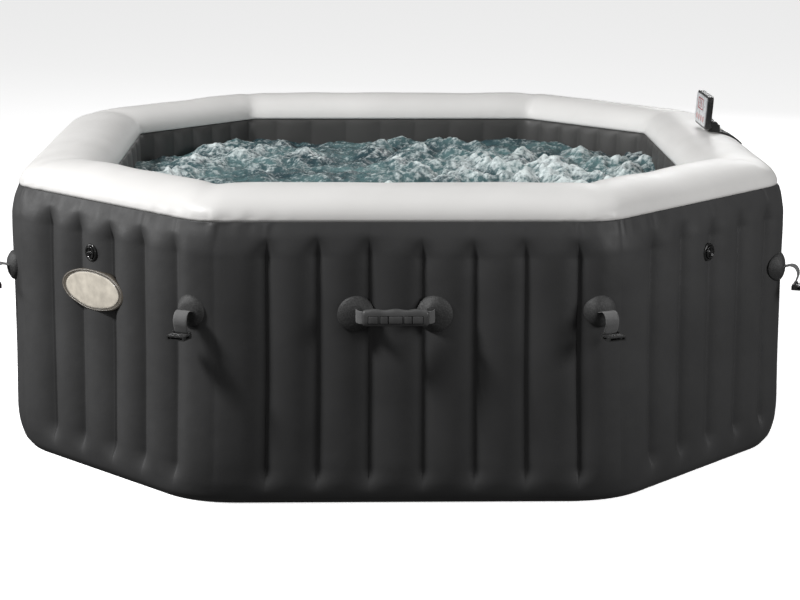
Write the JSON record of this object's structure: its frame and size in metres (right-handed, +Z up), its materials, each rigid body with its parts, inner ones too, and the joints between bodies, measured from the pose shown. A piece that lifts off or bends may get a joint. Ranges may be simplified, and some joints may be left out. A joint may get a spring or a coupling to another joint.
{
  "type": "inflatable hot tub",
  "caption": "Octagonal inflatable spa: fluted air-chamber wall under a pale arched rim, with strap anchors, carrying handles, valves, water ports and a tilting control panel.",
  "frame": {"origin": "centre of the tub's underside", "axes": "+Z up, -Y towards the front face with the carrying handle, +X towards the face with the control panel and ports"},
  "size_m": [2.1046, 2.1046, 0.8352],
  "materials": {
    "wall_skin": "satin",
    "rim_skin": "satin",
    "inner_skin": "satin",
    "beam_fabric": "matte",
    "grey_plastic": "satin",
    "patch_rubber": "matte",
    "webbing": "matte",
    "grip_plastic": "satin",
    "silver_plastic": "satin",
    "display_window": "gloss",
    "badge_vinyl": "satin",
    "black_plastic": "satin"
  },
  "bodies": {
    "tub": {"water_connector_1": "grey_plastic", "water_connector_2": "grey_plastic", "air_connector": "grey_plastic", "drain_body": "grey_plastic", "outer_wall": "wall_skin", "rim_cap": "rim_skin", "inner_wall": "inner_skin", "base_sheet": "inner_skin", "tension_beams": "beam_fabric", "bubble_channel": "grey_plastic", "anchor_patch_1": "patch_rubber", "anchor_patch_2": "patch_rubber", "anchor_patch_3": "patch_rubber", "anchor_patch_4": "patch_rubber", "anchor_patch_5": "patch_rubber", "anchor_patch_6": "patch_rubber", "anchor_patch_7": "patch_rubber", "anchor_patch_8": "patch_rubber", "front_handle_patch_left": "patch_rubber", "front_handle_patch_right": "patch_rubber", "back_handle_patch_left": "patch_rubber", "back_handle_patch_right": "patch_rubber", "valve_left_body": "black_plastic", "valve_right_body": "black_plastic", "badge": "badge_vinyl", "panel_cradle": "black_plastic"},
    "anchor_strap_1": {"anchor_strap_1": "webbing"},
    "anchor_buckle_1": {"anchor_buckle_1": "black_plastic"},
    "anchor_strap_2": {"anchor_strap_2": "webbing"},
    "anchor_buckle_2": {"anchor_buckle_2": "black_plastic"},
    "anchor_strap_3": {"anchor_strap_3": "webbing"},
    "anchor_buckle_3": {"anchor_buckle_3": "black_plastic"},
    "anchor_strap_4": {"anchor_strap_4": "webbing"},
    "anchor_buckle_4": {"anchor_buckle_4": "black_plastic"},
    "anchor_strap_5": {"anchor_strap_5": "webbing"},
    "anchor_buckle_5": {"anchor_buckle_5": "black_plastic"},
    "anchor_strap_6": {"anchor_strap_6": "webbing"},
    "anchor_buckle_6": {"anchor_buckle_6": "black_plastic"},
    "anchor_strap_7": {"anchor_strap_7": "webbing"},
    "anchor_buckle_7": {"anchor_buckle_7": "black_plastic"},
    "anchor_strap_8": {"anchor_strap_8": "webbing"},
    "anchor_buckle_8": {"anchor_buckle_8": "black_plastic"},
    "front_handle": {"front_handle_strap": "webbing", "front_handle_grip": "grip_plastic"},
    "back_handle": {"back_handle_strap": "webbing", "back_handle_grip": "grip_plastic"},
    "valve_left_cap": {"valve_left_cap": "black_plastic"},
    "valve_right_cap": {"valve_right_cap": "black_plastic"},
    "connector_plug_1": {"connector_plug_1": "black_plastic"},
    "connector_plug_2": {"connector_plug_2": "black_plastic"},
    "drain_cap": {"drain_cap": "black_plastic"},
    "strainer_1": {"strainer_1": "grey_plastic"},
    "strainer_2": {"strainer_2": "grey_plastic"},
    "panel": {"panel_case": "black_plastic", "panel_face": "silver_plastic", "panel_display": "display_window"},
    "panel_button_1": {"panel_button_1": "grey_plastic"},
    "panel_button_2": {"panel_button_2": "grey_plastic"},
    "panel_button_3": {"panel_button_3": "grey_plastic"},
    "panel_button_4": {"panel_button_4": "grey_plastic"}
  },
  "joints": [
    {"name": "anchor_strap_1_lift", "type": "hinge", "parent": "tub", "child": "anchor_strap_1", "pos_m": [-0.49693, -0.97346, 0.462], "axis": [-0.924, 0.3823, 0], "range_deg": [0, 60]},
    {"name": "anchor_buckle_1_flop", "type": "hinge", "parent": "anchor_strap_1", "child": "anchor_buckle_1", "pos_m": [-0.5061, -0.99564, 0.42], "axis": [-0.924, 0.3823, 0], "range_deg": [-60, 50]},
    {"name": "anchor_strap_2_lift", "type": "hinge", "parent": "tub", "child": "anchor_strap_2", "pos_m": [0.45627, -0.99029, 0.462], "axis": [-0.924, -0.3823, 0], "range_deg": [0, 60]},
    {"name": "anchor_buckle_2_flop", "type": "hinge", "parent": "anchor_strap_2", "child": "anchor_buckle_2", "pos_m": [0.46545, -1.01246, 0.42], "axis": [-0.924, -0.3823, 0], "range_deg": [-60, 50]},
    {"name": "anchor_strap_3_lift", "type": "hinge", "parent": "tub", "child": "anchor_strap_3", "pos_m": [0.97346, -0.49693, 0.462], "axis": [-0.3823, -0.924, 0], "range_deg": [0, 60]},
    {"name": "anchor_buckle_3_flop", "type": "hinge", "parent": "anchor_strap_3", "child": "anchor_buckle_3", "pos_m": [0.99564, -0.5061, 0.42], "axis": [-0.3823, -0.924, 0], "range_deg": [-60, 50]},
    {"name": "anchor_strap_4_lift", "type": "hinge", "parent": "tub", "child": "anchor_strap_4", "pos_m": [0.99029, 0.45627, 0.462], "axis": [0.3823, -0.924, 0], "range_deg": [0, 60]},
    {"name": "anchor_buckle_4_flop", "type": "hinge", "parent": "anchor_strap_4", "child": "anchor_buckle_4", "pos_m": [1.01246, 0.46545, 0.42], "axis": [0.3823, -0.924, 0], "range_deg": [-60, 50]},
    {"name": "anchor_strap_5_lift", "type": "hinge", "parent": "tub", "child": "anchor_strap_5", "pos_m": [0.49693, 0.97346, 0.462], "axis": [0.924, -0.3823, 0], "range_deg": [0, 60]},
    {"name": "anchor_buckle_5_flop", "type": "hinge", "parent": "anchor_strap_5", "child": "anchor_buckle_5", "pos_m": [0.5061, 0.99564, 0.42], "axis": [0.924, -0.3823, 0], "range_deg": [-60, 50]},
    {"name": "anchor_strap_6_lift", "type": "hinge", "parent": "tub", "child": "anchor_strap_6", "pos_m": [-0.45627, 0.99029, 0.462], "axis": [0.924, 0.3823, 0], "range_deg": [0, 60]},
    {"name": "anchor_buckle_6_flop", "type": "hinge", "parent": "anchor_strap_6", "child": "anchor_buckle_6", "pos_m": [-0.46545, 1.01246, 0.42], "axis": [0.924, 0.3823, 0], "range_deg": [-60, 50]},
    {"name": "anchor_strap_7_lift", "type": "hinge", "parent": "tub", "child": "anchor_strap_7", "pos_m": [-0.97346, 0.49693, 0.462], "axis": [0.3823, 0.924, 0], "range_deg": [0, 60]},
    {"name": "anchor_buckle_7_flop", "type": "hinge", "parent": "anchor_strap_7", "child": "anchor_buckle_7", "pos_m": [-0.99564, 0.5061, 0.42], "axis": [0.3823, 0.924, 0], "range_deg": [-60, 50]},
    {"name": "anchor_strap_8_lift", "type": "hinge", "parent": "tub", "child": "anchor_strap_8", "pos_m": [-0.99029, -0.45627, 0.462], "axis": [-0.3823, 0.924, 0], "range_deg": [0, 60]},
    {"name": "anchor_buckle_8_flop", "type": "hinge", "parent": "anchor_strap_8", "child": "anchor_buckle_8", "pos_m": [-1.01246, -0.46545, 0.42], "axis": [-0.3823, 0.924, 0], "range_deg": [-60, 50]},
    {"name": "front_handle_lift", "type": "hinge", "parent": "tub", "child": "front_handle", "pos_m": [-0.022, -1.00212, 0.458], "axis": [-1, 0, 0], "range_deg": [0, 55]},
    {"name": "back_handle_lift", "type": "hinge", "parent": "tub", "child": "back_handle", "pos_m": [0.022, 1.00212, 0.458], "axis": [1, 0, 0], "range_deg": [0, 55]},
    {"name": "valve_left_turn", "type": "hinge", "parent": "tub", "child": "valve_left_cap", "pos_m": [-0.73878, -0.70766, 0.547], "axis": [-0.7071, -0.7071, 0], "range_deg": [0, 270]},
    {"name": "valve_right_turn", "type": "hinge", "parent": "tub", "child": "valve_right_cap", "pos_m": [0.73171, -0.71474, 0.547], "axis": [0.7071, -0.7071, 0], "range_deg": [0, 270]},
    {"name": "connector_plug_1_turn", "type": "hinge", "parent": "tub", "child": "connector_plug_1", "pos_m": [0.97793, -0.119, 0.13], "axis": [1, 0, 0], "range_deg": [0, 270]},
    {"name": "connector_plug_2_turn", "type": "hinge", "parent": "tub", "child": "connector_plug_2", "pos_m": [0.97793, 0.119, 0.13], "axis": [1, 0, 0], "range_deg": [0, 270]},
    {"name": "drain_turn", "type": "hinge", "parent": "tub", "child": "drain_cap", "pos_m": [0.97765, 0.357, 0.06], "axis": [1, 0, 0], "range_deg": [0, 270]},
    {"name": "strainer_1_turn", "type": "hinge", "parent": "tub", "child": "strainer_1", "pos_m": [0.97793, -0.119, 0.13], "axis": [-1, 0, 0], "range_deg": [0, 90]},
    {"name": "strainer_2_turn", "type": "hinge", "parent": "tub", "child": "strainer_2", "pos_m": [0.97793, 0.119, 0.13], "axis": [-1, 0, 0], "range_deg": [0, 90]},
    {"name": "panel_tilt", "type": "hinge", "parent": "tub", "child": "panel", "pos_m": [0.872, 0.04, 0.752], "axis": [0, 1, 0], "range_deg": [-4, 70]},
    {"name": "panel_button_1_press", "type": "slide", "parent": "panel", "child": "panel_button_1", "axis": [0.9976, 0, -0.0698], "range_m": [0, 0.0012], "stiffness_N_per_m": 150},
    {"name": "panel_button_2_press", "type": "slide", "parent": "panel", "child": "panel_button_2", "axis": [0.9976, 0, -0.0698], "range_m": [0, 0.0012], "stiffness_N_per_m": 150},
    {"name": "panel_button_3_press", "type": "slide", "parent": "panel", "child": "panel_button_3", "axis": [0.9976, 0, -0.0698], "range_m": [0, 0.0012], "stiffness_N_per_m": 150},
    {"name": "panel_button_4_press", "type": "slide", "parent": "panel", "child": "panel_button_4", "axis": [0.9976, 0, -0.0698], "range_m": [0, 0.0012], "stiffness_N_per_m": 150}
  ]
}
